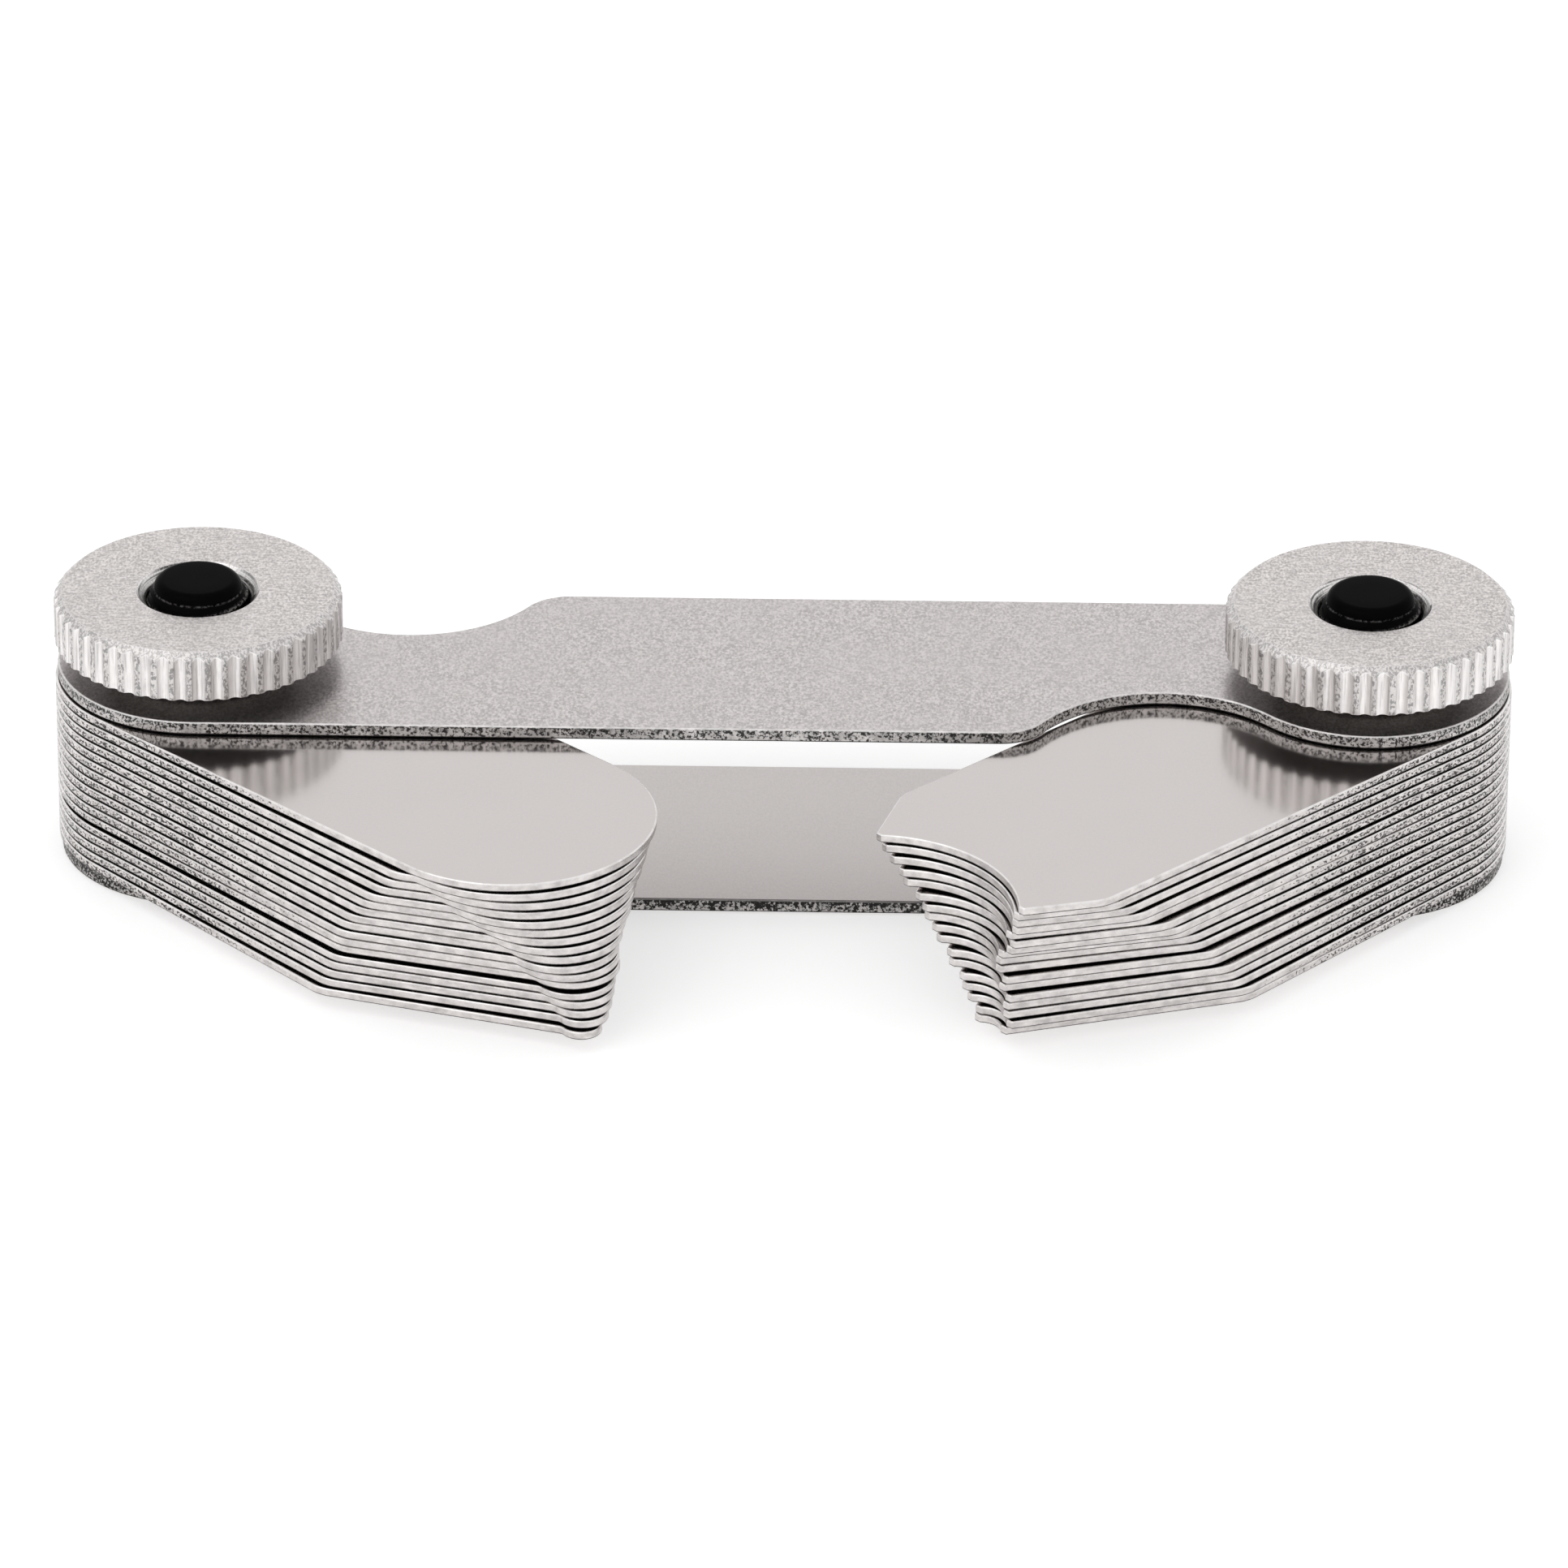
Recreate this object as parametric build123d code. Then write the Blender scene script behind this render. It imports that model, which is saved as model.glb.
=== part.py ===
from build123d import *
import math
import os

# Radius gauge for 1 mm to 7 mm. Millimetres, +Z up, X along the holder, origin at the middle of its underside.

# Each layer from the top down: blade radius, then how many degrees its convex and its concave blade
# are swung out of the holder.
layers = [
    (7.0, 42.5, 43.7),
    (6.5, 43.2, 43.5),
    (6.0, 43.4, 43.7),
    (5.5, 43.7, 44.1),
    (5.0, 44.2, 43.7),
    (4.5, 44.2, 44.6),
    (4.0, 44.3, 44.6),
    (3.5, 44.7, 43.9),
    (3.0, 44.8, 44.0),
    (2.75, 45.1, 44.2),
    (2.5, 44.9, 45.3),
    (2.25, 44.6, 45.1),
    (2.0, 45.0, 46.2),
    (1.75, 45.0, 46.1),
    (1.5, 45.1, 46.4),
    (1.25, 45.4, 47.1),
    (1.0, 46.1, 46.5),
]

# Holder plates
pivot_spacing = 56.8
gauge_width = 14.0  # blades and nuts
plate_inset = 0.12  # the plates' long edges, inside the blades' edges
plate_thickness = 0.68
notch_radius = 6.9
notch_bearing = 43.5  # degrees from the holder's axis to the notch centre, seen from the pivot
notch_corner_radius = 2.5

# Blades
blade_thickness = 0.49
blade_play = 0.02  # height left free between two layers
taper_angle = 29.5  # degrees, each side
bend_radius = 2.0
convex_reach_largest = 28.2  # pivot to tip of the 7 mm blade
convex_reach_smallest = 28.65  # pivot to tip of the 1 mm blade
neck_relief_base = 0.2  # the tapered sides pass this far inside the tip circle,
neck_relief_share = 0.1  # plus this share of the radius, so that the whole arc stands free
neck_radius = 0.5
concave_arc_bottom = 26.25  # pivot to the deepest point of the hollow arc
concave_half_angle = 42  # degrees of arc each side of the blade's axis
horn_land = 0.35
horn_radius = 0.12

# Studs
stud_diameter = 5.0
running_clearance = 0.05  # radial, blade bore and nut bore on the stud
spigot_diameter = 4.0
rivet_flare_diameter = 5.2
rivet_flare_depth = 0.4
stud_end_diameter = 4.3
stud_end_rounding = 0.5
stud_end_rise = 0.1  # nut face to the start of the rounded end

# Collars and nuts
seat_gap = 0.02  # plate to collar and collar to nut, clear for turning
collar_inset = 2.4  # the collar's rim, inside the nut's rim
collar_height = 1.15
collar_chamfer = 0.2
nut_height = 2.5
nut_chamfer = 0.4
knurl_grooves = 50
knurl_groove_width = 0.6  # at the rim
knurl_depth = 0.2
countersink_diameter = 6.0
countersink_depth = 0.5

half_spacing = pivot_spacing / 2
gauge_half = gauge_width / 2
plate_half = gauge_half - plate_inset
stud_radius = stud_diameter / 2
bore_radius = stud_radius + running_clearance
layer_pitch = blade_thickness + blade_play
top_plate_z = plate_thickness + len(layers) * layer_pitch + blade_play
holder_height = top_plate_z + plate_thickness
collar_z = holder_height + seat_gap
nut_z = collar_z + collar_height + seat_gap
nut_top_z = nut_z + nut_height
taper = math.radians(taper_angle)


def polar(centre, radius, degrees):
    """Point at a distance and bearing from a centre."""
    angle = math.radians(degrees)
    return (centre[0] + radius * math.cos(angle), centre[1] + radius * math.sin(angle))


def half_plate_outline():
    """Round end at the left pivot, finger notch behind it, then the straight back edge to the right pivot."""
    pivot = (-half_spacing, 0)
    notch = polar(pivot, plate_half + notch_radius, notch_bearing)
    corner_y = plate_half - notch_corner_radius
    corner_run = math.sqrt((notch_radius + notch_corner_radius) ** 2 - (notch[1] - corner_y) ** 2)
    corner = (notch[0] + corner_run, corner_y)
    corner_bearing = math.degrees(math.atan2(corner_y - notch[1], corner_run))
    notch_start = 180 + notch_bearing
    notch_end = 360 + corner_bearing
    end_start = polar(pivot, plate_half, 270)
    notch_in = polar(pivot, plate_half, notch_bearing)
    notch_out = polar(notch, notch_radius, notch_end)
    edge_start = polar(corner, notch_corner_radius, 90)
    corner_middle = (corner_bearing + 180 + 90) / 2
    return [
        ThreePointArc(end_start, polar(pivot, plate_half, (270 + notch_bearing) / 2), notch_in),
        ThreePointArc(notch_in, polar(notch, notch_radius, (notch_start + notch_end) / 2), notch_out),
        ThreePointArc(notch_out, polar(corner, notch_corner_radius, corner_middle), edge_start),
        Line(edge_start, (half_spacing, plate_half)),
    ]


def plate_face():
    """S-shaped plate outline: the same half twice, turned half round."""
    half = half_plate_outline()
    return make_face(half + [Rot(0, 0, 180) * edge for edge in half])


def at_pivots(shape):
    """The same shape at both pivots."""
    return Pos(-half_spacing, 0, 0) * shape + Pos(half_spacing, 0, 0) * shape


def top_plate():
    face = plate_face() - at_pivots(Circle(bore_radius))
    return Pos(0, 0, top_plate_z) * extrude(face, plate_thickness)


def rivet_profile():
    """Half section of the stud's riveted foot, filling the plate's countersunk hole."""
    spigot = spigot_diameter / 2
    flare = rivet_flare_diameter / 2
    return [(0, 0), (flare, 0), (spigot, rivet_flare_depth), (spigot, plate_thickness)]


def turned(points):
    """Solid of revolution about Z from half-section points."""
    return revolve(Plane.XZ * make_face(Polyline(*points, close=True)), Axis.Z)


def bottom_plate():
    hole = turned(rivet_profile() + [(0, plate_thickness)])
    return extrude(plate_face(), plate_thickness) - at_pivots(hole)


def stud():
    """Pivot stud: riveted foot, shoulder on the bottom plate, plain shank and rounded end above a chamfer."""
    end_radius = stud_end_diameter / 2
    rounding_centre = (end_radius - stud_end_rounding, nut_top_z + stud_end_rise)
    side, middle, top = (polar(rounding_centre, stud_end_rounding, bearing) for bearing in (0, 45, 90))
    shank = [
        (stud_radius, plate_thickness),
        (stud_radius, side[1] - (stud_radius - end_radius)),
        side,
    ]
    half_section = [
        Polyline(*rivet_profile(), *shank),
        ThreePointArc(side, middle, top),
        Polyline(top, (0, top[1]), (0, 0)),
    ]
    return revolve(Plane.XZ * make_face(half_section), Axis.Z)


def collar():
    """Thrust collar between top plate and nut."""
    rim = gauge_half - collar_inset
    ring = Cylinder(rim, collar_height, align=(Align.CENTER, Align.CENTER, Align.MIN))
    ring -= Cylinder(bore_radius, 3 * collar_height)
    outer_edges = ring.edges().filter_by(GeomType.CIRCLE).filter_by(lambda e: e.radius > bore_radius + 0.01)
    return chamfer(outer_edges, collar_chamfer)


def knurled_disc():
    """Disc with upright V-grooves all round its rim."""
    rim = gauge_half
    outside = rim + knurl_depth
    groove = Polygon(
        (rim - knurl_depth, 0), (outside, -knurl_groove_width), (outside, knurl_groove_width), align=None,
    )
    return extrude(Circle(rim) - PolarLocations(0, knurl_grooves) * groove, nut_height)


def nut():
    """Round nut: fluted rim, chamfered where it meets the top, and a countersunk bore."""
    rim = gauge_half
    blank = turned([
        (0, 0),
        (rim, 0),
        (rim, nut_height - nut_chamfer),
        (rim - nut_chamfer, nut_height),
        (0, nut_height),
    ])
    bore = turned([
        (0, 0),
        (bore_radius, 0),
        (bore_radius, nut_height - countersink_depth),
        (countersink_diameter / 2, nut_height),
        (0, nut_height),
    ])
    return (knurled_disc() & blank) - bore


def round_corners(solid, chosen, radius):
    """Rounds the upright edges of a solid that pass the test, if it has any."""
    corners = solid.edges().filter_by(Axis.Z).filter_by(lambda e: chosen(e.center()))
    return fillet(corners, radius) if corners else solid


def round_bends(solid, bend, radius):
    """Rounds the two bends where a blade's parallel sides turn into its taper."""
    return round_corners(solid, lambda c: c.X > bend - 0.01 and abs(c.Y) > gauge_half - 0.01, radius)


def blade_solid(face):
    """Blade from its outline, with the round pivot end and the bore."""
    return extrude(face + Circle(gauge_half) - Circle(bore_radius), blade_thickness)


def convex_blade(radius):
    """Blade with an outside arc: tapered sides run into a neck behind a free-standing round tip."""
    smallest = layers[-1][0]
    largest = layers[0][0]
    share = (radius - smallest) / (largest - smallest)
    reach = convex_reach_smallest + share * (convex_reach_largest - convex_reach_smallest)
    tip_centre = reach - radius
    side_offset = radius - neck_relief_base - neck_relief_share * radius
    bend = tip_centre - (gauge_half * math.cos(taper) - side_offset) / math.sin(taper)
    side_end = tip_centre + side_offset * math.sin(taper)
    side_end_half = side_offset * math.cos(taper)
    body = Polygon(
        (0, -gauge_half), (bend, -gauge_half), (side_end, -side_end_half),
        (side_end, side_end_half), (bend, gauge_half), (0, gauge_half), align=None,
    )
    strip = Rectangle(2 * reach, gauge_width)
    face = (body + Pos(tip_centre, 0) * Circle(radius)) & strip
    if radius >= gauge_half:
        return blade_solid(face)
    neck_run = (gauge_half - radius) / math.sin(taper)
    solid = round_bends(blade_solid(face), bend, min(bend_radius, 2 * neck_run))
    return round_corners(solid, lambda c: c.X > bend and abs(c.Y) < gauge_half - 0.01, neck_radius)


def concave_blade(radius):
    """Blade with an inside arc between two small horns."""
    half_angle = math.radians(concave_half_angle)
    arc_centre = concave_arc_bottom + radius
    end = arc_centre - radius * math.cos(half_angle)
    horn_half = radius * math.sin(half_angle) + horn_land
    bend = end - (gauge_half - horn_half) / math.tan(taper)
    body = Polygon(
        (0, -gauge_half), (bend, -gauge_half), (end, -horn_half),
        (end, horn_half), (bend, gauge_half), (0, gauge_half), align=None,
    )
    face = body - Pos(arc_centre, 0) * Circle(radius)
    solid = round_bends(blade_solid(face), bend, bend_radius)
    return round_corners(solid, lambda c: abs(c.X - end) < 0.01, horn_radius)


def radius_name(radius):
    """A radius as used in node names, such as 2p75 for 2.75 mm."""
    return f"{radius:.2f}".replace(".", "p")


def build_parts():
    """Every node of the gauge, by name, in its place."""
    parts = {"bottom_plate": bottom_plate(), "top_plate": top_plate()}
    for side, x in (("left", -half_spacing), ("right", half_spacing)):
        parts[f"{side}_stud"] = Pos(x, 0, 0) * stud()
        parts[f"{side}_collar"] = Pos(x, 0, collar_z) * collar()
        parts[f"{side}_nut"] = Pos(x, 0, nut_z) * nut()
    for number, (radius, convex_swing, concave_swing) in enumerate(layers, start=1):
        z = top_plate_z - number * layer_pitch
        left = Pos(-half_spacing, 0, z) * Rot(0, 0, -convex_swing)
        right = Pos(half_spacing, 0, z) * Rot(0, 0, 180 + concave_swing)
        parts[f"convex_blade_{radius_name(radius)}"] = left * convex_blade(radius)
        parts[f"concave_blade_{radius_name(radius)}"] = right * concave_blade(radius)
    return parts


os.makedirs("parts", exist_ok=True)
for name, part in build_parts().items():
    part.label = name
    export_step(part, f"parts/{name}.step")
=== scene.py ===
import math
import random

import bpy
from mathutils import Matrix, Vector, noise
from mathutils.geometry import tessellate_polygon


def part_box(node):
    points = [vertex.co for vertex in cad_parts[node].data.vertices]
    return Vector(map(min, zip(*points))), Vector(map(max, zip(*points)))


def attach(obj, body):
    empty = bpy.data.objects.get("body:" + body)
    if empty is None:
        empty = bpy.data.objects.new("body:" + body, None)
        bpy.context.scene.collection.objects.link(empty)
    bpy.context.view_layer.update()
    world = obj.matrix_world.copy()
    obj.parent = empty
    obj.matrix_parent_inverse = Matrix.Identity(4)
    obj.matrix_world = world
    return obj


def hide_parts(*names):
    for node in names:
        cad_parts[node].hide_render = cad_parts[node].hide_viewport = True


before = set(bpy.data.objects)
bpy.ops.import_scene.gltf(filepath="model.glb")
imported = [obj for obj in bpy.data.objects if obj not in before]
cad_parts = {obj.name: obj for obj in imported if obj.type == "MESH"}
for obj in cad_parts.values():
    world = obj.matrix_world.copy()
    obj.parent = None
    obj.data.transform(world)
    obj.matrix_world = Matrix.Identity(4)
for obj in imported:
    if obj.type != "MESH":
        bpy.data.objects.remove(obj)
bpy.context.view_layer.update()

# Radius gauge in its steel finish. Sizes in millimetres, as in the CAD model, and meshes in metres.
MM = 0.001

# Each layer from the top down: blade radius, then how many degrees its convex and its concave blade
# are swung out of the holder.
LAYERS = [
    (7.0, 42.5, 43.7),
    (6.5, 43.2, 43.5),
    (6.0, 43.4, 43.7),
    (5.5, 43.7, 44.1),
    (5.0, 44.2, 43.7),
    (4.5, 44.2, 44.6),
    (4.0, 44.3, 44.6),
    (3.5, 44.7, 43.9),
    (3.0, 44.8, 44.0),
    (2.75, 45.1, 44.2),
    (2.5, 44.9, 45.3),
    (2.25, 44.6, 45.1),
    (2.0, 45.0, 46.2),
    (1.75, 45.0, 46.1),
    (1.5, 45.1, 46.4),
    (1.25, 45.4, 47.1),
    (1.0, 46.1, 46.5),
]
PIVOT = 28.4  # pivot to the middle of the holder
GAUGE_HALF = 7.0  # half the width of the blades, and the radius of the nuts
BORE = 2.55  # radius of the bores of blades, top plate, collars and nuts
BORE_ROUNDING = 0.05

# Plates
PLATE_HALF = 6.88
PLATE_THICKNESS = 0.68
PLATE_ROUNDING = 0.11
PLATE_UNEVENNESS = 0.02
NOTCH_RADIUS = 6.9
NOTCH_BEARING = 43.5
NOTCH_CORNER_RADIUS = 2.5

# Blades
BLADE_ROUNDING = 0.10
TAPER = math.radians(29.5)
BEND_RADIUS = 2.0
REACH_SMALLEST = 28.65
REACH_LARGEST = 28.2
NECK_RELIEF_BASE = 0.2
NECK_RELIEF_SHARE = 0.1
NECK_RADIUS = 0.5
ARC_BOTTOM = 26.25
ARC_HALF_ANGLE = 42
HORN_LAND = 0.35
HORN_RADIUS = 0.12
GAP = 0.06  # taken off the thickness of each blade, for the dark lines between the layers
SPREAD = 0.05  # taken off both blades beside the one gap that stands open in the photograph
ABOVE_SPREAD = "convex_blade_2p25"
BELOW_SPREAD = "convex_blade_2p00"
PITTED_UP_TO = 8.0  # distances from the pivot between which the pits of a blade's edge fade out
CLEAN_FROM = 20.0

# Nuts, collars and studs
KNURLS = 50
NUT_HEIGHT = 2.5
NUT_CHAMFER = 0.4
FLUTE_HALF = 0.31  # half the width of a flute
FLUTE_DEPTH = 0.2
COUNTERSINK_RADIUS = 3.0
COUNTERSINK_DEPTH = 0.5
THREAD_PITCH = 0.8
NUT_THREAD_DEPTH = 0.09
COLLAR_RADIUS = 4.6
COLLAR_CHAMFER = 0.2
STUD_RADIUS = 2.5
SPIGOT_RADIUS = 2.0
FOOT_RADIUS = 2.6
FOOT_DEPTH = 0.4
STUD_END_RADIUS = 2.15
STUD_END_ROUNDING = 0.5
STUD_THREAD_DEPTH = 0.2
STUD_THREAD_START = 3.6  # below the stud's end
STUD_THREAD_END = 0.85

# How finely curves are cut
ARC_STEP = 0.35
ARC_STEP_DEGREES = 4
RUN_STEP = 1.2
ROUNDING_STEPS = 5
HOLE_POINTS = 64
TURNED_POINTS = 96
POINTS_PER_KNURL = 20

FREE = 99  # room of an outline point where nothing limits the rounding of the edge


def arc(cx, cy, radius, start, end, hollow=False):
    """Outline points along an arc, as (x, y, outward normal x, y, room to round the edge)."""
    turn = abs(end - start)
    count = max(4, int(turn / ARC_STEP_DEGREES), int(math.radians(turn) * radius / ARC_STEP))
    sign = -1 if hollow else 1
    room = FREE if hollow else radius
    points = []
    for i in range(count + 1):
        a = math.radians(start + (end - start) * i / count)
        c, s = math.cos(a), math.sin(a)
        points.append((cx + radius * c, cy + radius * s, sign * c, sign * s, room))
    return points


def run(p, q):
    """Extra outline points inside a straight run between two outline points."""
    count = int(math.hypot(q[0] - p[0], q[1] - p[1]) / RUN_STEP)
    return [
        (p[0] + (q[0] - p[0]) * i / count, p[1] + (q[1] - p[1]) * i / count, p[2], p[3], FREE)
        for i in range(1, count)
    ]


def joined(pieces):
    """One outline from arcs, with straight runs between them."""
    points = []
    for piece in pieces:
        if points:
            points += run(points[-1], piece[0])
        points += piece
    return points


def without_repeats(points):
    """The closed outline without repeated points."""
    same = 1e-4
    kept = []
    for p in points:
        if not kept or math.hypot(p[0] - kept[-1][0], p[1] - kept[-1][1]) > same:
            kept.append(p)
    if math.hypot(kept[0][0] - kept[-1][0], kept[0][1] - kept[-1][1]) < same:
        kept.pop()
    return kept


def mirrored(upper):
    """Whole blade outline from its upper half, which runs from the tip back to the pivot end."""
    lower = [(x, -y, nx, -ny, room) for x, y, nx, ny, room in reversed(upper)]
    return without_repeats(upper + lower)


def back_of_blade(bend, bend_radius):
    """Bend into the parallel sides and the half round end about the pivot."""
    cut = bend_radius * math.tan(TAPER / 2)
    return [
        arc(bend - cut, GAUGE_HALF - bend_radius, bend_radius, 90 - math.degrees(TAPER), 90),
        arc(0, 0, GAUGE_HALF, 90, 180),
    ]


def convex_outline(radius):
    """Outline of a convex blade: free-standing round tip, neck, tapered side, bend and pivot end."""
    smallest, largest = LAYERS[-1][0], LAYERS[0][0]
    share = (radius - smallest) / (largest - smallest)
    tip = REACH_SMALLEST + share * (REACH_LARGEST - REACH_SMALLEST) - radius
    if radius >= GAUGE_HALF:
        return mirrored(joined([arc(tip, 0, radius, 0, 90), arc(0, 0, GAUGE_HALF, 90, 180)]))
    offset = radius - NECK_RELIEF_BASE - NECK_RELIEF_SHARE * radius
    along = Vector((math.cos(TAPER), -math.sin(TAPER)))
    across = Vector((math.sin(TAPER), math.cos(TAPER)))
    back = math.sqrt((radius + NECK_RADIUS) ** 2 - (offset + NECK_RADIUS) ** 2)
    centre = across * (offset + NECK_RADIUS) - along * back
    bearing = math.degrees(math.atan2(centre.y, centre.x))
    side_bearing = 270 - math.degrees(TAPER)
    bend = tip - (GAUGE_HALF * math.cos(TAPER) - offset) / math.sin(TAPER)
    bend_radius = min(BEND_RADIUS, 2 * (GAUGE_HALF - radius) / math.sin(TAPER))
    return mirrored(joined([
        arc(tip, 0, radius, 0, bearing),
        arc(tip + centre.x, centre.y, NECK_RADIUS, bearing + 180, side_bearing, hollow=True),
        *back_of_blade(bend, bend_radius),
    ]))


def concave_outline(radius):
    """Outline of a concave blade: hollow arc, small horn, tapered side, bend and pivot end."""
    half_angle = math.radians(ARC_HALF_ANGLE)
    middle = ARC_BOTTOM + radius
    end = middle - radius * math.cos(half_angle)
    horn_half = radius * math.sin(half_angle) + HORN_LAND
    horn_x = end - HORN_RADIUS
    inner_y = math.sqrt((radius + HORN_RADIUS) ** 2 - (middle - horn_x) ** 2)
    outer_y = horn_half - HORN_RADIUS * (1 - math.sin(TAPER)) / math.cos(TAPER)
    inner_bearing = math.degrees(math.atan2(-inner_y, middle - horn_x))
    bend = end - (GAUGE_HALF - horn_half) / math.tan(TAPER)
    return mirrored(joined([
        arc(middle, 0, radius, 180, 180 + inner_bearing, hollow=True),
        arc(horn_x, inner_y, HORN_RADIUS, inner_bearing, 0),
        arc(horn_x, outer_y, HORN_RADIUS, 0, 90 - math.degrees(TAPER)),
        *back_of_blade(bend, BEND_RADIUS),
    ]))


def plate_outline():
    """S-shaped plate outline: the same half twice, turned half round."""
    bearing = math.radians(NOTCH_BEARING)
    from_pivot = (PLATE_HALF + NOTCH_RADIUS) * Vector((math.cos(bearing), math.sin(bearing)))
    notch = Vector((-PIVOT, 0)) + from_pivot
    corner_y = PLATE_HALF - NOTCH_CORNER_RADIUS
    corner_run = math.sqrt((NOTCH_RADIUS + NOTCH_CORNER_RADIUS) ** 2 - (notch.y - corner_y) ** 2)
    corner_bearing = math.degrees(math.atan2(corner_y - notch.y, corner_run))
    half = joined([
        arc(-PIVOT, 0, PLATE_HALF, 270, NOTCH_BEARING),
        arc(notch.x, notch.y, NOTCH_RADIUS, 180 + NOTCH_BEARING, 360 + corner_bearing, hollow=True),
        arc(notch.x + corner_run, corner_y, NOTCH_CORNER_RADIUS, corner_bearing + 180, 90),
    ])
    other = [(-x, -y, -nx, -ny, room) for x, y, nx, ny, room in half]
    whole = half + run(half[-1], other[0]) + other + run(other[-1], half[0])
    return without_repeats(list(reversed(whole)))


class Build:
    """Mesh being put together from rings of points, with normals and three values for the materials.

    edge is 0 on flat faces and 1 on cut edges, wear says how pitted an edge is, and painted_light is painted
    shade above 0 and a painted highlight below 0 on bare steel, and a painted highlight above 0 on black
    oxide.
    """

    def __init__(self):
        self.points = []
        self.normals = []
        self.edge = []
        self.wear = []
        self.painted_light = []
        self.faces = []

    def ring(self, points, normals, edge, wear=None, painted_light=None):
        """Adds a ring of points and gives back their numbers."""
        first = len(self.points)
        self.points += points
        self.normals += normals
        self.edge += [edge] * len(points)
        self.wear += wear or [1.0] * len(points)
        self.painted_light += painted_light or [0.0] * len(points)
        return list(range(first, first + len(points)))

    def wall(self, above, below):
        """Faces between two rings of as many points."""
        count = len(above)
        for i in range(count):
            j = (i + 1) % count
            self.faces.append((above[i], below[i], below[j], above[j]))

    def cap(self, rings, up):
        """Flat face inside the first ring and outside the others."""
        loops = [[Vector(self.points[i]).to_2d().to_3d() for i in ring] for ring in rings]
        flat = [i for ring in rings for i in ring]
        for a, b, c in tessellate_polygon(loops):
            p, q, r = (Vector(self.points[flat[k]]) for k in (a, b, c))
            if ((q - p).cross(r - p).z > 0) == up:
                self.faces.append((flat[a], flat[b], flat[c]))
            else:
                self.faces.append((flat[a], flat[c], flat[b]))

    def piece(self, name, material, place, body, *nodes, slot):
        """Object in its place, with the custom normals, in place of CAD nodes."""
        turn = place.to_3x3()
        mesh = bpy.data.meshes.new(name)
        mesh.from_pydata([place @ (Vector(p) * MM) for p in self.points], [], self.faces)
        mesh.polygons.foreach_set("use_smooth", [True] * len(mesh.polygons))
        for attribute, values in (("edge", self.edge), ("wear", self.wear), ("painted_light", self.painted_light)):
            layer = mesh.attributes.new(attribute, "FLOAT", "POINT")
            layer.data.foreach_set("value", values)
        mesh.normals_split_custom_set_from_vertices([turn @ Vector(v) for v in self.normals])
        mesh.materials.append(material)
        mesh.update()
        obj = bpy.data.objects.new(name, mesh)
        bpy.context.scene.collection.objects.link(obj)
        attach(obj, body)
        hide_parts(*nodes)
        return obj


def hole_profile(radius, low, high, rounding):
    """Rounded plain hole from the top down, as (radius, height, normal outward, normal up)."""
    s = math.sqrt(0.5)
    d = rounding * (1 - s)
    return [
        (radius + rounding, high, 0, 1),
        (radius + d, high - d, -s, s),
        (radius, high - rounding, -1, 0),
        (radius, low + rounding, -1, 0),
        (radius + d, low + d, -s, -s),
        (radius + rounding, low, 0, -1),
    ]


def rivet_hole_profile():
    """Countersunk hole of the bottom plate round the stud's foot, in the same form."""
    slope = (-0.83, -0.55)
    ease = 0.03  # taken off the cone at both ends
    return [
        (SPIGOT_RADIUS + 0.05, PLATE_THICKNESS, 0, 1),
        (SPIGOT_RADIUS, PLATE_THICKNESS - 0.05, -1, 0),
        (SPIGOT_RADIUS, FOOT_DEPTH + 0.02, -1, 0),
        (SPIGOT_RADIUS + ease, FOOT_DEPTH - 0.04, *slope),
        (FOOT_RADIUS - ease, 0.03, *slope),
        (FOOT_RADIUS + 0.02, 0, 0, -1),
    ]


def slab(outline, low, high, rounding, holes, seed, rough=0.0, wear=lambda x: 1.0, painted_highlight=0.6, lower_wear=1.0):
    """Flat blank with rounded edges and holes, from an outline and hole profiles.

    wear gives how pitted the edge is at x, and lower_wear is the share of that at the lower face. The upper
    rounding gets a painted highlight, or painted shade where that is set below 0, and the lower one painted
    shade for the gap under it.
    """
    build = Build()
    rings = []
    worn = [wear(p[0]) for p in outline]
    steps = ROUNDING_STEPS
    levels = [(math.radians(90 - 90 * k / steps), high, 1) for k in range(steps + 1)]
    levels += [(math.radians(90 * k / steps), low, -1) for k in range(steps + 1)]
    for angle, z, side in levels:
        points, normals = [], []
        for x, y, nx, ny, room in outline:
            inset = min(rounding, 0.8 * room) * (1 - math.cos(angle))
            if rough:
                grit = noise.noise(Vector((x * 2.5 + seed, y * 2.5, z * 1.5 + side)))
                inset += rough * (1 + grit) / 2
            height = z - side * rounding * (1 - math.sin(angle))
            points.append((x - nx * inset, y - ny * inset, height))
            normals.append((nx * math.cos(angle), ny * math.cos(angle), side * math.sin(angle)))
        rounded = math.sin(2 * angle)
        # Painted highlight on the upper rounding (painted shade where it is set below 0), painted shade on
        # the lower rounding, in the gap under the blade or plate.
        rim_light = -painted_highlight * rounded if side > 0 else min(1, 3 * rounded)
        share = 1.0 if side > 0 else lower_wear
        pitted = [share * w for w in worn]
        rings.append(build.ring(points, normals, math.cos(angle), pitted, [rim_light] * len(points)))
    for above, below in zip(rings, rings[1:]):
        build.wall(above, below)
    tops, bottoms = [rings[0]], [rings[-1]]
    circle = [2 * math.pi * i / HOLE_POINTS for i in range(HOLE_POINTS)]
    for cx, cy, profile in holes:
        walls = []
        for radius, z, out, up in profile:
            points = [(cx + radius * math.cos(a), cy + radius * math.sin(a), z) for a in circle]
            normals = [(out * math.cos(a), out * math.sin(a), up) for a in circle]
            walls.append(build.ring(points, normals, abs(out)))
        for above, below in zip(walls, walls[1:]):
            build.wall(list(reversed(above)), list(reversed(below)))
        tops.append(walls[0])
        bottoms.append(walls[-1])
    build.cap(tops, up=True)
    build.cap(bottoms, up=False)
    return build


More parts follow.
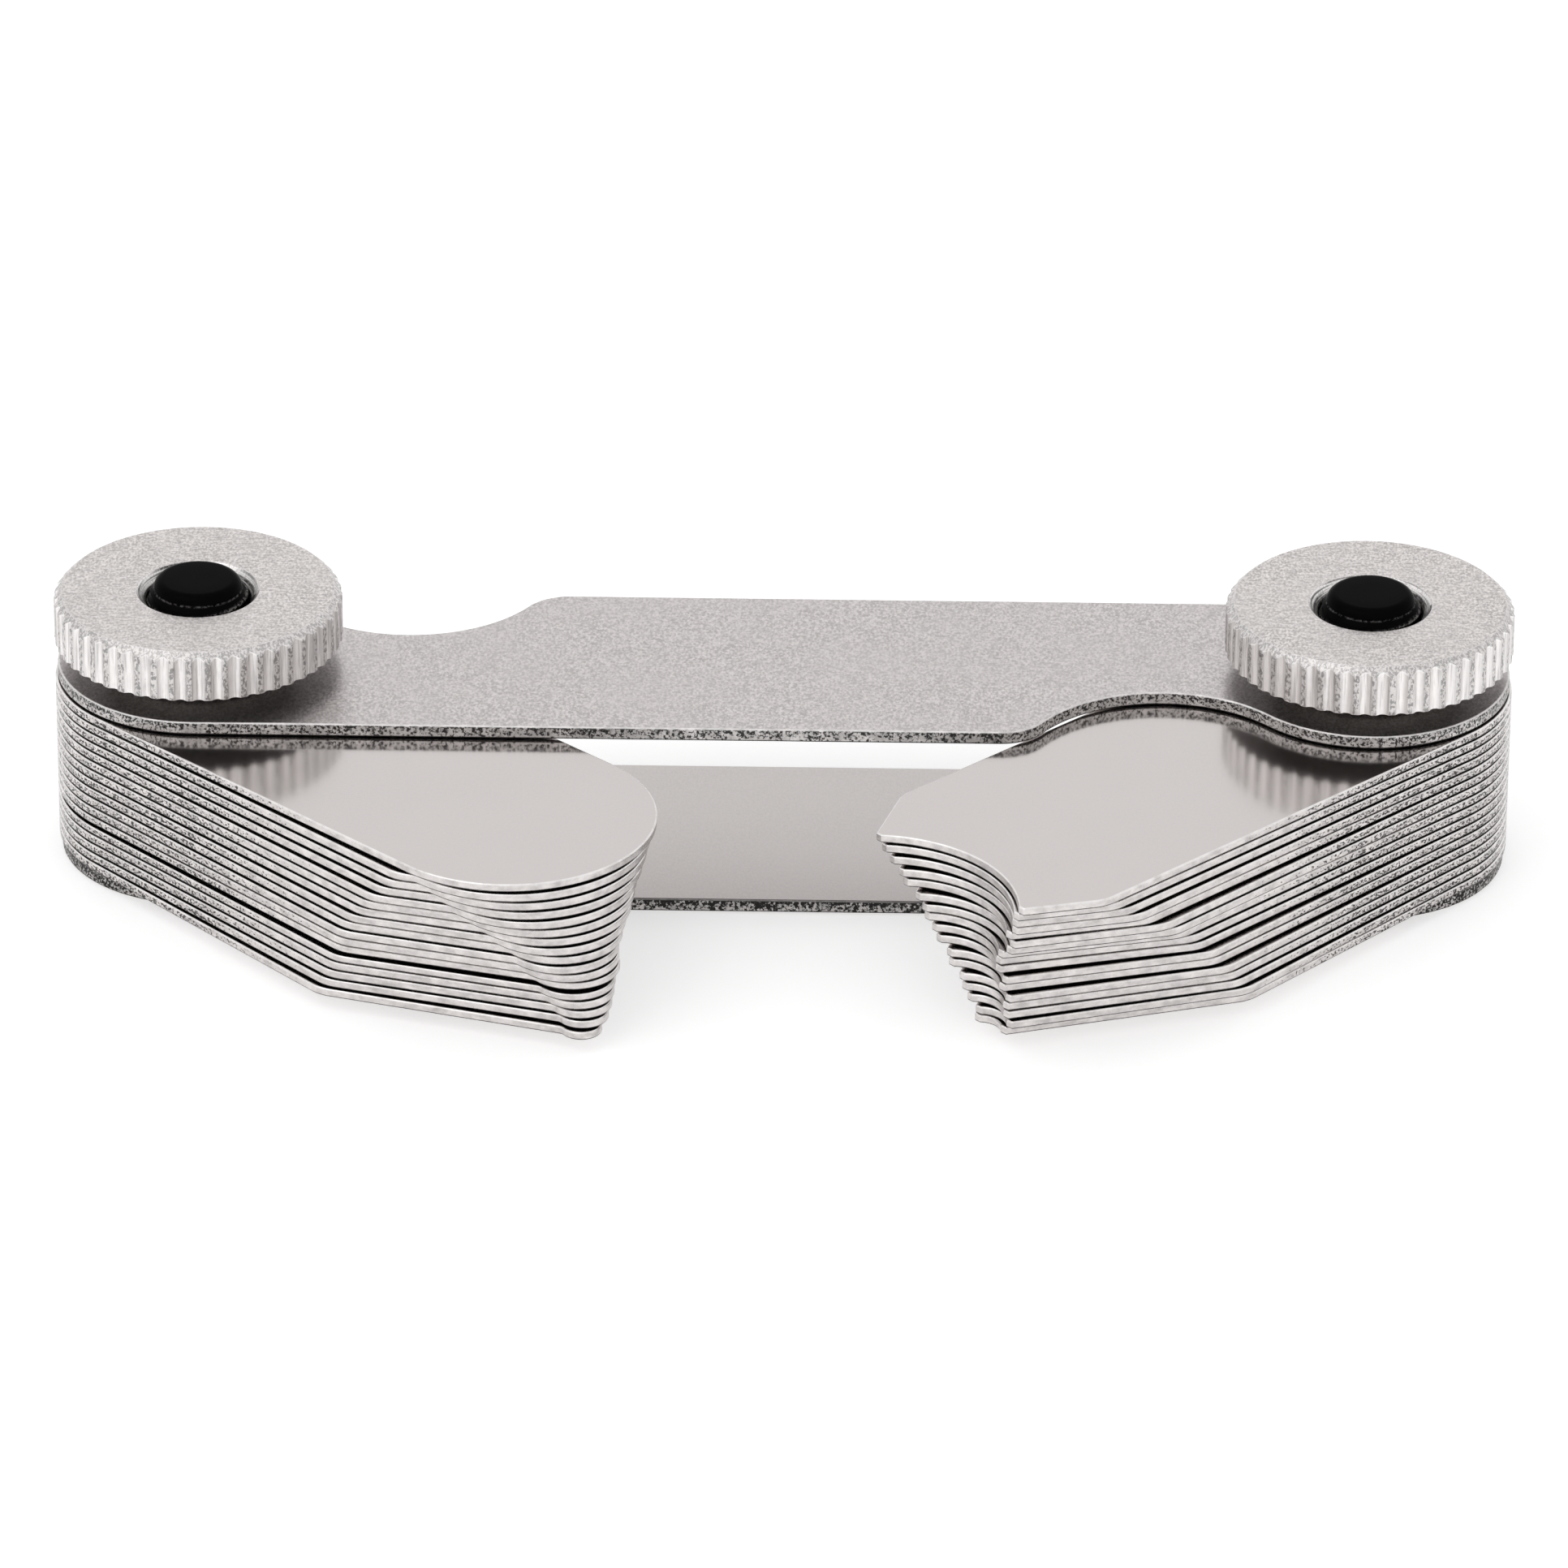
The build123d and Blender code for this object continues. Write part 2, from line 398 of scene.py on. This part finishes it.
def lathe(profile, count, shape=None):
    """Turned piece from a profile of (radius, height, edge value).

    The profile runs anticlockwise, seen with the axis on the left. shape gives radius, painted light and wear
    at a place on it.
    """
    build = Build()
    rings = []
    for radius, z, edge in profile:
        points, painted_lights, wears = [], [], []
        for i in range(count):
            a = 2 * math.pi * i / count
            r, painted_light, wear = shape(a, radius, z) if shape else (radius, 0.0, 1.0)
            points.append((r * math.cos(a), r * math.sin(a), z))
            painted_lights.append(painted_light)
            wears.append(wear)
        rings.append(build.ring(points, [(0, 0, 1)] * count, edge, wears, painted_lights))
    for below, above in zip(rings, rings[1:]):
        build.wall(above, below)
    return build


def finish_turned(build, name, material, place, body, node, slot, angle=38):
    """Piece with normals from its own faces, sharp where the faces turn by more than the angle."""
    obj = build.piece(name, material, place, body, node, slot=slot)
    mesh = obj.data
    mesh.attributes.remove(mesh.attributes["custom_normal"])
    mesh.set_sharp_from_angle(angle=math.radians(angle))
    return obj


def new_material(name):
    """Material with a single Principled shader."""
    material = bpy.data.materials.new(name)
    material.use_nodes = True
    nodes = material.node_tree.nodes
    nodes.clear()
    shader = nodes.new("ShaderNodeBsdfPrincipled")
    output = nodes.new("ShaderNodeOutputMaterial")
    material.node_tree.links.new(shader.outputs[0], output.inputs[0])
    return material, shader


class Nodes:
    """Short ways to add and link shader nodes."""

    def __init__(self, material):
        self.tree = material.node_tree
        self.coordinates = self.tree.nodes.new("ShaderNodeTexCoord").outputs["Object"]

    def link(self, source, target):
        self.tree.links.new(source, target)

    def mapped(self, scale, turn=0.0):
        node = self.tree.nodes.new("ShaderNodeMapping")
        node.inputs["Scale"].default_value = scale
        node.inputs["Rotation"].default_value = (0, 0, math.radians(turn))
        self.link(self.coordinates, node.inputs["Vector"])
        return node.outputs[0]

    def noise(self, scale, detail=3.0, roughness=0.55, stretch=(1, 1, 1), turn=0.0):
        node = self.tree.nodes.new("ShaderNodeTexNoise")
        node.inputs["Scale"].default_value = scale
        node.inputs["Detail"].default_value = detail
        node.inputs["Roughness"].default_value = roughness
        self.link(self.mapped(stretch, turn), node.inputs["Vector"])
        return node.outputs["Fac"]

    def ramp(self, value, first, last):
        """Grey ramp between two (position, level) stops."""
        node = self.tree.nodes.new("ShaderNodeValToRGB")
        for element, (position, level) in zip(node.color_ramp.elements, (first, last)):
            element.position = position
            element.color = (level, level, level, 1)
        self.link(value, node.inputs[0])
        return node.outputs[0]

    def spread(self, value, low, high, to_low, to_high):
        """Value mapped from one range to another, and held inside it."""
        node = self.tree.nodes.new("ShaderNodeMapRange")
        for key, number in zip(("From Min", "From Max", "To Min", "To Max"), (low, high, to_low, to_high)):
            node.inputs[key].default_value = number
        self.link(value, node.inputs["Value"])
        return node.outputs[0]

    def maths(self, operation, a, b):
        """Sum or product, clamped between 0 and 1."""
        node = self.tree.nodes.new("ShaderNodeMath")
        node.operation = operation
        node.use_clamp = True
        for socket, value in zip(node.inputs, (a, b)):
            self.put(value, socket)
        return node.outputs[0]

    def mix(self, factor, a, b):
        node = self.tree.nodes.new("ShaderNodeMix")
        node.data_type = "RGBA"
        for socket, value in ((node.inputs[0], factor), (node.inputs[6], a), (node.inputs[7], b)):
            self.put(value, socket)
        return node.outputs[2]

    def put(self, value, socket):
        """Sets a socket to a number or colour, or links it to another socket."""
        if isinstance(value, (int, float, tuple)):
            socket.default_value = value
        else:
            self.link(value, socket)

    def attribute(self, name):
        node = self.tree.nodes.new("ShaderNodeAttribute")
        node.attribute_name = name
        return node.outputs["Fac"]

    def bump(self, height, strength, distance, shader):
        node = self.tree.nodes.new("ShaderNodeBump")
        node.inputs["Strength"].default_value = strength
        node.inputs["Distance"].default_value = distance
        self.link(height, node.inputs["Height"])
        self.link(node.outputs[0], shader.inputs["Normal"])


def scaled(colour, factor):
    """Lighter or darker shade of a colour, opaque."""
    return tuple(min(1.0, c * factor) for c in colour) + (1.0,)


def steel(name, colour, rim_colour, look):
    """Bare steel: grain and scratches on the faces, pits on the cut edges where worn, painted shade in
    hollows and gaps.

    Below 0, the painted light attribute gives a painted highlight.
    """
    # Colours of the painted highlight and the painted shade.
    highlight_colour, shade_colour = (0.93, 0.92, 0.91, 1), (0.035, 0.033, 0.032, 1)
    material, shader = new_material(name)
    n = Nodes(material)
    shader.inputs["Metallic"].default_value = 1.0
    fine = n.noise(look["grain_scale"], 2, 0.6, (1, look["grain_stretch"], 1))
    blotch = n.noise(260, 3, 0.5)
    pitted = n.noise(look["pit_scale"], 2.5, 0.65, (1, 1, look["pit_stretch"]))
    mottled = n.noise(1500, 3, 0.6, (1, 1, look["pit_stretch"]))
    streaks = n.noise(9000, 2, 0.6, (1, 1, 0.04))
    edge = n.attribute("edge")
    wear = n.attribute("wear")
    painted_light = n.attribute("painted_light")
    on_rim = n.spread(edge, 0.2, 0.6, 0, 1)
    on_cut = n.spread(edge, 0.8, 0.97, 0, 1)

    # Faces
    grain = look["grain"]
    face = n.mix(n.spread(fine, 0.36, 0.64, 0, 1), scaled(colour, 1 - grain), scaled(colour, 1 + grain))
    face = n.mix(n.spread(blotch, 0.35, 0.65, 0, 0.35), face, scaled(colour, 1.03))
    if look["scratches"]:
        for turn in (25, -30, 78):
            line = n.noise(2300, 1.5, 0.5, (1, 6, 1), turn)
            face = n.mix(n.spread(line, 0.62, 0.7, 0, look["scratches"]), face, scaled(colour, 1.45))
            face = n.mix(n.spread(line, 0.38, 0.3, 0, look["scratches"]), face, scaled(colour, 0.55))

    # Cut edges
    low, high, dark = look["pits"]
    clean = n.maths("ADD", pitted, n.spread(wear, 0, 1, 0.25, 0))
    depth = n.maths("MULTIPLY", on_cut, n.ramp(clean, (low, 1.0), (high, 0.0)))
    shades = scaled(rim_colour, 1 - look["mottle"]), scaled(rim_colour, 1 + look["mottle"])
    bright = n.mix(n.spread(mottled, 0.3, 0.7, 0, 1), *shades)
    bright = n.mix(n.spread(streaks, 0.5, 0.36, 0, look["streaks"]), bright, scaled(rim_colour, 0.5))
    bright = n.mix(wear, bright, n.mix(look["dulled"], bright, scaled(colour, 0.85)))
    rim = n.mix(depth, bright, scaled(rim_colour, dark))

    # Painted highlights and painted shade
    surface = n.mix(on_rim, face, rim)
    # Painted highlight where the painted light attribute is below 0, painted shade where it is above 0.
    painted_highlight = n.maths("MULTIPLY", n.maths("MULTIPLY", painted_light, -1.0), n.spread(mottled, 0.3, 0.5, 0.5, 1))
    surface = n.mix(painted_highlight, surface, highlight_colour)
    painted_shade = n.maths("MULTIPLY", n.maths("MULTIPLY", painted_light, 1.0), n.spread(fine, 0.3, 0.6, 0.75, 1))
    surface = n.mix(painted_shade, surface, shade_colour)
    n.link(surface, shader.inputs["Base Color"])

    face_rough = n.spread(fine, 0.2, 0.8, *look["face_rough"])
    rim_rough = n.spread(pitted, 0.3, 0.7, *look["rim_rough"])
    n.link(n.mix(on_rim, face_rough, rim_rough), shader.inputs["Roughness"])
    face_bump, rim_bump = look["bumps"]
    height = n.mix(on_cut, n.spread(fine, 0, 1, 0, face_bump), n.spread(pitted, 0, 1, 0, rim_bump))
    n.bump(height, 0.5, 0.00002, shader)
    return material


def black_oxide(name):
    """Cloudy black oxide, with a painted highlight in steel grey where the painted light attribute is above
    0.
    """
    material, shader = new_material(name)
    n = Nodes(material)
    shader.inputs["Metallic"].default_value = 0.0
    shader.inputs["Specular IOR Level"].default_value = 0.01
    cloud = n.noise(700, 3, 0.5)
    scuffs = n.noise(5200, 4, 0.7)
    # Painted highlight in steel grey, broken into dashes by the scuffs.
    painted_glint = n.maths("MULTIPLY", n.attribute("painted_light"), n.spread(scuffs, 0.46, 0.6, 0, 1))
    black = n.mix(cloud, (0.001, 0.001, 0.0012, 1), (0.0035, 0.003, 0.003, 1))
    n.link(n.mix(painted_glint, black, (0.22, 0.21, 0.205, 1)), shader.inputs["Base Color"])
    n.link(n.spread(scuffs, 0.2, 0.8, 0.08, 0.2), shader.inputs["Roughness"])
    n.bump(scuffs, 0.12, 0.00001, shader)
    return material


blade_steel = steel("blade_steel", (0.61, 0.575, 0.565), (0.63, 0.60, 0.59), {
    "grain": 0.012, "grain_scale": 7500, "grain_stretch": 1.0, "scratches": 0.0,
    "pits": (0.45, 0.51, 0.1), "pit_scale": 6500, "pit_stretch": 1.6, "mottle": 0.22, "streaks": 0.0,
    "dulled": 0.0, "face_rough": (0.12, 0.16), "rim_rough": (0.25, 0.4), "bumps": (0.03, 0.5),
})
plate_look = {
    "grain": 0.26, "grain_scale": 8500, "grain_stretch": 0.6, "scratches": 0.25,
    "pits": (0.47, 0.57, 0.08), "pit_scale": 7500, "pit_stretch": 1.0, "mottle": 0.25, "streaks": 0.0,
    "dulled": 0.0, "face_rough": (0.28, 0.38), "rim_rough": (0.35, 0.6), "bumps": (0.6, 1.5),
}
plate_steel = steel("plate_steel", (0.55, 0.52, 0.515), (0.57, 0.55, 0.54), plate_look)
lower_plate_steel = steel("lower_plate_steel", (0.55, 0.52, 0.51), (0.48, 0.46, 0.45), {
    **plate_look, "grain": 0.05, "scratches": 0.0, "pits": (0.53, 0.61, 0.05),
})
nut_steel = steel("nut_steel", (0.62, 0.59, 0.58), (0.87, 0.845, 0.835), {
    "grain": 0.32, "grain_scale": 8500, "grain_stretch": 0.6, "scratches": 0.5,
    "pits": (0.44, 0.54, 0.35), "pit_scale": 8000, "pit_stretch": 0.6, "mottle": 0.06, "streaks": 0.6,
    "dulled": 0.45, "face_rough": (0.36, 0.5), "rim_rough": (0.3, 0.5), "bumps": (1.0, 0.8),
})
# Far darker than bare steel: painted shade of the dark gap under the nut.
painted_shade_collar_steel = steel("painted_shade_collar_steel", (0.24, 0.23, 0.225), (0.24, 0.23, 0.22), {
    "grain": 0.12, "grain_scale": 7500, "grain_stretch": 1.0, "scratches": 0.0,
    "pits": (0.36, 0.5, 0.5), "pit_scale": 5200, "pit_stretch": 0.3, "mottle": 0.1, "streaks": 0.3,
    "dulled": 0.0, "face_rough": (0.25, 0.4), "rim_rough": (0.25, 0.4), "bumps": (0.4, 0.4),
})
stud_black = black_oxide("stud_black_oxide")


def blade_wear(x):
    """The edge is pitted near the pivot, where the blade isn't used, and clean towards the tip."""
    return max(0.0, min(1.0, (CLEAN_FROM - x) / (CLEAN_FROM - PITTED_UP_TO)))


def blade(kind, radius, x, turn):
    """One blade about its pivot at x, turned by as many degrees."""
    label = f"{radius:.2f}".replace(".", "p")
    node = f"{kind}_blade_{label}"
    low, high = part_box(node)
    outline = convex_outline(radius) if kind == "convex" else concave_outline(radius)
    bottom, top = GAP / 2, (high.z - low.z) / MM - GAP / 2
    if node == ABOVE_SPREAD:
        bottom += SPREAD
    if node == BELOW_SPREAD:
        top -= SPREAD
    hole = (0, 0, hole_profile(BORE, bottom, top, BORE_ROUNDING))
    build = slab(outline, bottom, top, BLADE_ROUNDING, [hole], radius, wear=blade_wear)
    place = Matrix.Translation((x * MM, 0, low.z)) @ Matrix.Rotation(math.radians(turn), 4, "Z")
    build.piece("skin_" + node, blade_steel, place, f"{kind}_{label}", node, slot="blade")


def plate(node, metal, profile, painted_highlight):
    """One cover plate, with the same hole at both pivots."""
    holes = [(-PIVOT, 0, profile), (PIVOT, 0, profile)]
    build = slab(
        plate_outline(), 0, PLATE_THICKNESS, PLATE_ROUNDING, holes, 3,
        rough=PLATE_UNEVENNESS, painted_highlight=painted_highlight, lower_wear=0.7,
    )
    place = Matrix.Translation((0, 0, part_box(node)[0].z))
    build.piece("skin_" + node, metal, place, "holder", node, slot="plate")


def near(value, centre, width):
    """Bell curve, 1 at the centre."""
    return math.exp(-((value - centre) / width) ** 2)


def crest_share(angle, z):
    """1 on the crest and 0 in the root of a right-hand thread, at a place round the axis and along it."""
    phase = ((z - THREAD_PITCH * angle / (2 * math.pi)) / THREAD_PITCH) % 1
    return abs(2 * phase - 1)


def nut_shape(seed):
    """The nut's fluted rim and threaded bore, as radius, painted shade and highlight and wear at a place on
    the plain blank.
    """
    dice = random.Random(seed)
    wobble = [
        (dice.uniform(-0.03, 0.03), dice.uniform(0.9, 1.1), dice.uniform(0.9, 1.05))
        for _ in range(KNURLS)
    ]
    flute_pitch = 2 * math.pi * GAUGE_HALF / KNURLS
    blend = 0.015  # rounding where a flute meets the rim or the chamfer

    def rim(angle, radius, z):
        turn = angle / (2 * math.pi) * KNURLS
        shift, wide, deep = wobble[int(round(turn)) % KNURLS]
        side = (turn - round(turn) - shift) * flute_pitch / (FLUTE_HALF * wide)
        flute = GAUGE_HALF - FLUTE_DEPTH * deep * max(0.0, 1 - abs(side) ** 1.7)
        gap = radius - flute
        cut = radius - blend * math.log1p(math.exp(gap / blend)) if gap / blend > -6 else radius
        grit = noise.noise(Vector((angle * 90, z * 7, seed))) * 0.012
        in_flute = min(1.0, max(0.0, gap / 0.05))
        # Painted highlight along the arch edges, where the flutes run into the chamfer.
        painted_highlight = 0.9 * near(gap, 0.05, 0.03) if z > NUT_HEIGHT - NUT_CHAMFER else 0.0
        # Painted shade along the flute borders, heavier on one side.
        flute_shade = 0.12 * near(side, 0.7, 0.2) + 0.5 * near(abs(side), 0.93, 0.1)
        # Painted shade on the underside.
        underside_shade = 0.5 if z < 0.03 and radius < GAUGE_HALF - 0.1 else 0.0
        return min(cut + grit, GAUGE_HALF), max(underside_shade, flute_shade * in_flute) - painted_highlight, 1 - in_flute

    def shape(angle, radius, z):
        if radius > GAUGE_HALF - 0.7:
            return rim(angle, radius, z)
        # Painted shade on the bottom face.
        if z < 0.01:
            return radius, 0.5, 1.0
        depth = NUT_HEIGHT - z
        if radius > COUNTERSINK_RADIUS + 0.2 or depth <= 0.03 or depth >= 2.3:
            return radius, 0.0, 1.0
        if depth < COUNTERSINK_DEPTH:
            # Painted shade over the countersink, in broken dark rings that stand for thread grooves.
            lines = noise.noise(Vector((depth * 16, angle * 1.2, seed + 5)))
            return radius, max(0.0, min(1.0, 2.6 * lines + 0.25)), 0.0
        # Painted shade in the bore, darkest in the thread roots.
        crest = crest_share(angle, z)
        return radius + NUT_THREAD_DEPTH * (1 - crest), 1 - 0.6 * crest, 0.0

    return shape


def nut_profile():
    """Half section of the nut from the bottom of the bore out, up the rim and back down the bore."""
    rim = GAUGE_HALF
    top = NUT_HEIGHT
    shoulder = top - NUT_CHAMFER
    rise = shoulder - 0.04
    inner = COUNTERSINK_RADIUS
    cone = inner - 0.015 - BORE
    rim_steps, chamfer_steps, bore_steps = 9, 14, 30
    bore_length = 1.9  # from the countersink down to just above the bottom
    points = [(2.6, 0, 0), (2.9, 0, 0), (6.0, 0, 0)]
    points += [(rim - 0.15, 0, 0.2), (rim - 0.03, 0.01, 0.8), (rim, 0.04, 1)]
    points += [(rim, 0.04 + rise * i / rim_steps, 1) for i in range(1, rim_steps + 1)]
    slopes = [NUT_CHAMFER * i / chamfer_steps for i in range(1, chamfer_steps)]
    points += [(rim - slope, shoulder + slope, 0.92) for slope in slopes]
    points += [(rim - 0.4, top - 0.004, 0.5), (rim - 0.43, top, 0.1), (rim - 0.48, top, 0)]
    points += [(6.2, top, 0), (4.5, top, 0)]
    points += [(inner + 0.06, top, 0), (inner + 0.015, top - 0.004, 0.3), (inner - 0.015, top - 0.02, 1)]
    shares = [i / chamfer_steps for i in range(1, chamfer_steps + 1)]
    sink = COUNTERSINK_DEPTH - 0.02
    points += [(inner - 0.015 - cone * share, top - 0.02 - sink * share, 1) for share in shares]
    for i in range(1, bore_steps + 1):
        points.append((BORE, top - COUNTERSINK_DEPTH - bore_length * i / bore_steps, 1))
    points += [(BORE + 0.01, 0.03, 1), (2.6, 0, 0)]
    return points


def nut(side, x, seed):
    """One nut with uneven flutes of its own."""
    node = side + "_nut"
    build = lathe(nut_profile(), KNURLS * POINTS_PER_KNURL, nut_shape(seed))
    place = Matrix.Translation((x * MM, 0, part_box(node)[0].z))
    finish_turned(build, "skin_" + node, nut_steel, place, node, node, "nut", 42)


def collar(side, x):
    """One thrust collar, as a closed ring with chamfered rims."""
    node = side + "_collar"
    low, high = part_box(node)
    tall = (high.z - low.z) / MM
    rim, step = COLLAR_RADIUS, COLLAR_CHAMFER
    inner = BORE + BORE_ROUNDING
    ring = [
        (BORE, BORE_ROUNDING, 1),
        (inner, 0, 0),
        (rim - step, 0, 0),
        (rim, step, 1),
        (rim, tall - step, 1),
        (rim - step, tall, 0),
        (inner, tall, 0),
        (BORE, tall - BORE_ROUNDING, 1),
        (BORE, BORE_ROUNDING, 1),
    ]
    build = lathe(ring, TURNED_POINTS)
    place = Matrix.Translation((x * MM, 0, low.z))
    finish_turned(build, "skin_" + node, painted_shade_collar_steel, place, node, node, "collar")


def stud_shape(tall):
    """The stud's thread and end, as radius, painted highlight and wear at a place on the plain blank."""

    def shape(angle, radius, z):
        if radius > 2.2 and tall - STUD_THREAD_START < z < tall - 0.53:
            crest = crest_share(angle, z)
            cut = STUD_RADIUS - STUD_THREAD_DEPTH * (1 - crest)
            # Painted highlight along the thread crests.
            return min(radius, cut), max(0.0, crest - 0.75) * 4, 1.0
        # Painted highlight on the ring where the end rounding meets the chamfer.
        painted_glint = near(radius, STUD_END_RADIUS, 0.02) * near(z, tall - STUD_END_ROUNDING, 0.03)
        return radius, 0.5 * painted_glint, 1.0

    return shape


def stud_profile(tall):
    """Half section of the stud from its riveted foot up the shank to the rounded end."""
    shank, spigot = STUD_RADIUS, SPIGOT_RADIUS
    chamfer = shank - STUD_END_RADIUS
    thread_length = STUD_THREAD_START - STUD_THREAD_END
    thread_steps, chamfer_steps, end_steps, end_step = 40, 6, 11, 0.13
    centre = STUD_END_RADIUS - STUD_END_ROUNDING
    post = [(0.001, 0, 0), (shank, 0, 0), (FOOT_RADIUS - 0.015, 0.02, 1), (spigot, FOOT_DEPTH, 1)]
    post += [(spigot, PLATE_THICKNESS - 0.01, 1), (shank - 0.01, PLATE_THICKNESS + 0.005, 1)]
    post += [(shank, PLATE_THICKNESS + 0.04, 1), (shank, tall - STUD_THREAD_START - 0.1, 1)]
    for i in range(thread_steps + 1):
        post.append((shank, tall - STUD_THREAD_START + thread_length * i / thread_steps, 1))
    for i in range(1, chamfer_steps + 1):
        cut = chamfer * i / chamfer_steps
        post.append((shank - cut, tall - STUD_THREAD_END + cut, 1))
    for i in range(1, end_steps + 1):
        out, up = math.cos(end_step * i), math.sin(end_step * i)
        post.append((centre + STUD_END_ROUNDING * out, tall + STUD_END_ROUNDING * (up - 1), 0.2))
    post += [(centre, tall, 0), (0.9, tall, 0), (0.001, tall, 0)]
    return post


def stud(side, x):
    """One stud, part of the holder."""
    node = side + "_stud"
    low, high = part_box(node)
    tall = (high.z - low.z) / MM
    build = lathe(stud_profile(tall), TURNED_POINTS, stud_shape(tall))
    place = Matrix.Translation((x * MM, 0, low.z))
    finish_turned(build, "skin_" + node, stud_black, place, "holder", node, "stud")


for radius, convex_swing, concave_swing in LAYERS:
    blade("convex", radius, -PIVOT, -convex_swing)
    blade("concave", radius, PIVOT, 180 + concave_swing)
plate("top_plate", plate_steel, hole_profile(BORE, 0, PLATE_THICKNESS, BORE_ROUNDING), painted_highlight=0.3)
plate("bottom_plate", lower_plate_steel, rivet_hole_profile(), painted_highlight=-0.7)
for side, x, seed in (("left", -PIVOT, 11), ("right", PIVOT, 12)):
    nut(side, x, seed)
    collar(side, x)
    stud(side, x)


def seen_by(tree, *rays):
    """1 for the named kinds of ray from Light Path, and 0 for all others."""
    path = tree.nodes.new("ShaderNodeLightPath")
    seen = path.outputs[rays[0]]
    for ray in rays[1:]:
        either = tree.nodes.new("ShaderNodeMath")
        either.operation = "MAXIMUM"
        tree.links.new(seen, either.inputs[0])
        tree.links.new(path.outputs[ray], either.inputs[1])
        seen = either.outputs[0]
    return seen


def floor_material():
    """White floor that the camera and gloss see a little brighter, and that can't be seen from below."""
    material = bpy.data.materials.new("floor_white")
    material.use_nodes = True
    tree = material.node_tree
    tree.nodes.clear()
    diffuse = tree.nodes.new("ShaderNodeBsdfDiffuse")
    diffuse.inputs["Color"].default_value = (0.8, 0.8, 0.8, 1)
    level = tree.nodes.new("ShaderNodeMath")
    level.operation = "MULTIPLY"
    level.inputs[1].default_value = 0.5
    tree.links.new(seen_by(tree, "Is Camera Ray", "Is Glossy Ray"), level.inputs[0])
    glow = tree.nodes.new("ShaderNodeEmission")
    tree.links.new(level.outputs[0], glow.inputs["Strength"])
    both = tree.nodes.new("ShaderNodeAddShader")
    tree.links.new(diffuse.outputs[0], both.inputs[0])
    tree.links.new(glow.outputs[0], both.inputs[1])
    see_through = tree.nodes.new("ShaderNodeBsdfTransparent")
    sides = tree.nodes.new("ShaderNodeNewGeometry")
    one_sided = tree.nodes.new("ShaderNodeMixShader")
    tree.links.new(sides.outputs["Backfacing"], one_sided.inputs[0])
    tree.links.new(both.outputs[0], one_sided.inputs[1])
    tree.links.new(see_through.outputs[0], one_sided.inputs[2])
    output = tree.nodes.new("ShaderNodeOutputMaterial")
    tree.links.new(one_sided.outputs[0], output.inputs[0])
    return material


def add_floor():
    """Plain floor, in metres, just below the underside so that the two don't coincide."""
    half_size, height = 3, -0.0001
    mesh = bpy.data.meshes.new("floor")
    corners = [(x * half_size, y * half_size, height) for x, y in ((-1, -1), (1, -1), (1, 1), (-1, 1))]
    mesh.from_pydata(corners, [], [(0, 1, 2, 3)])
    mesh.materials.append(floor_material())
    floor = bpy.data.objects.new("floor", mesh)
    bpy.context.scene.collection.objects.link(floor)


def add_world():
    """Soft white light from all round, at full strength where the camera, gloss or glass sees it."""
    world = bpy.data.worlds.new("studio")
    bpy.context.scene.world = world
    world.use_nodes = True
    tree = world.node_tree
    tree.nodes.clear()
    seen = seen_by(tree, "Is Camera Ray", "Is Glossy Ray", "Is Transmission Ray")
    strength = tree.nodes.new("ShaderNodeMapRange")
    strength.inputs["To Min"].default_value = 0.75
    strength.inputs["To Max"].default_value = 1.0
    tree.links.new(seen, strength.inputs["Value"])
    background = tree.nodes.new("ShaderNodeBackground")
    background.inputs["Color"].default_value = (1, 1, 1, 1)
    tree.links.new(strength.outputs[0], background.inputs["Strength"])
    output = tree.nodes.new("ShaderNodeOutputWorld")
    tree.links.new(background.outputs[0], output.inputs[0])


TARGET = Vector((0, 0, 0.006))  # metres, what lamp and camera look at


def area_light(name, place, size, watts):
    """Square or oblong lamp, turned to the target."""
    light = bpy.data.lights.new(name, "AREA")
    light.shape = "RECTANGLE"
    light.size, light.size_y = size
    light.energy = watts
    lamp = bpy.data.objects.new(name, light)
    bpy.context.scene.collection.objects.link(lamp)
    lamp.location = place
    lamp.rotation_euler = (TARGET - Vector(place)).to_track_quat("-Z", "Y").to_euler()


def add_camera():
    """Camera fitted to the photograph, with its angles, distance and shift worked out there."""
    elevation, yaw, roll = math.radians(28.081), math.radians(0.702), math.radians(0.37)
    distance = 0.5419
    photo_width, focal, shift_x, shift_y = 1932, 13693.5, 1.3, -58.25  # in the photograph's pixels
    level = math.cos(elevation)
    back = Vector((math.sin(yaw) * level, -math.cos(yaw) * level, math.sin(elevation)))
    right = Vector((math.cos(yaw), math.sin(yaw), 0))
    up = back.cross(right)
    rolled_right = math.cos(roll) * right + math.sin(roll) * up
    rolled_up = -math.sin(roll) * right + math.cos(roll) * up
    data = bpy.data.cameras.new("camera")
    data.sensor_width = 36
    data.lens = focal / photo_width * data.sensor_width
    data.shift_x = shift_x / photo_width
    data.shift_y = shift_y / photo_width
    data.clip_start = 0.01
    camera = bpy.data.objects.new("camera", data)
    bpy.context.scene.collection.objects.link(camera)
    rotation = Matrix((rolled_right, rolled_up, back)).transposed().to_4x4()
    camera.matrix_world = Matrix.Translation(TARGET + back * distance) @ rotation
    bpy.context.scene.camera = camera


add_floor()
add_world()
area_light("key_light", (-0.3, -0.25, 0.55), (0.5, 0.5), 0.5)
add_camera()
bpy.context.scene.view_settings.view_transform = "Standard"
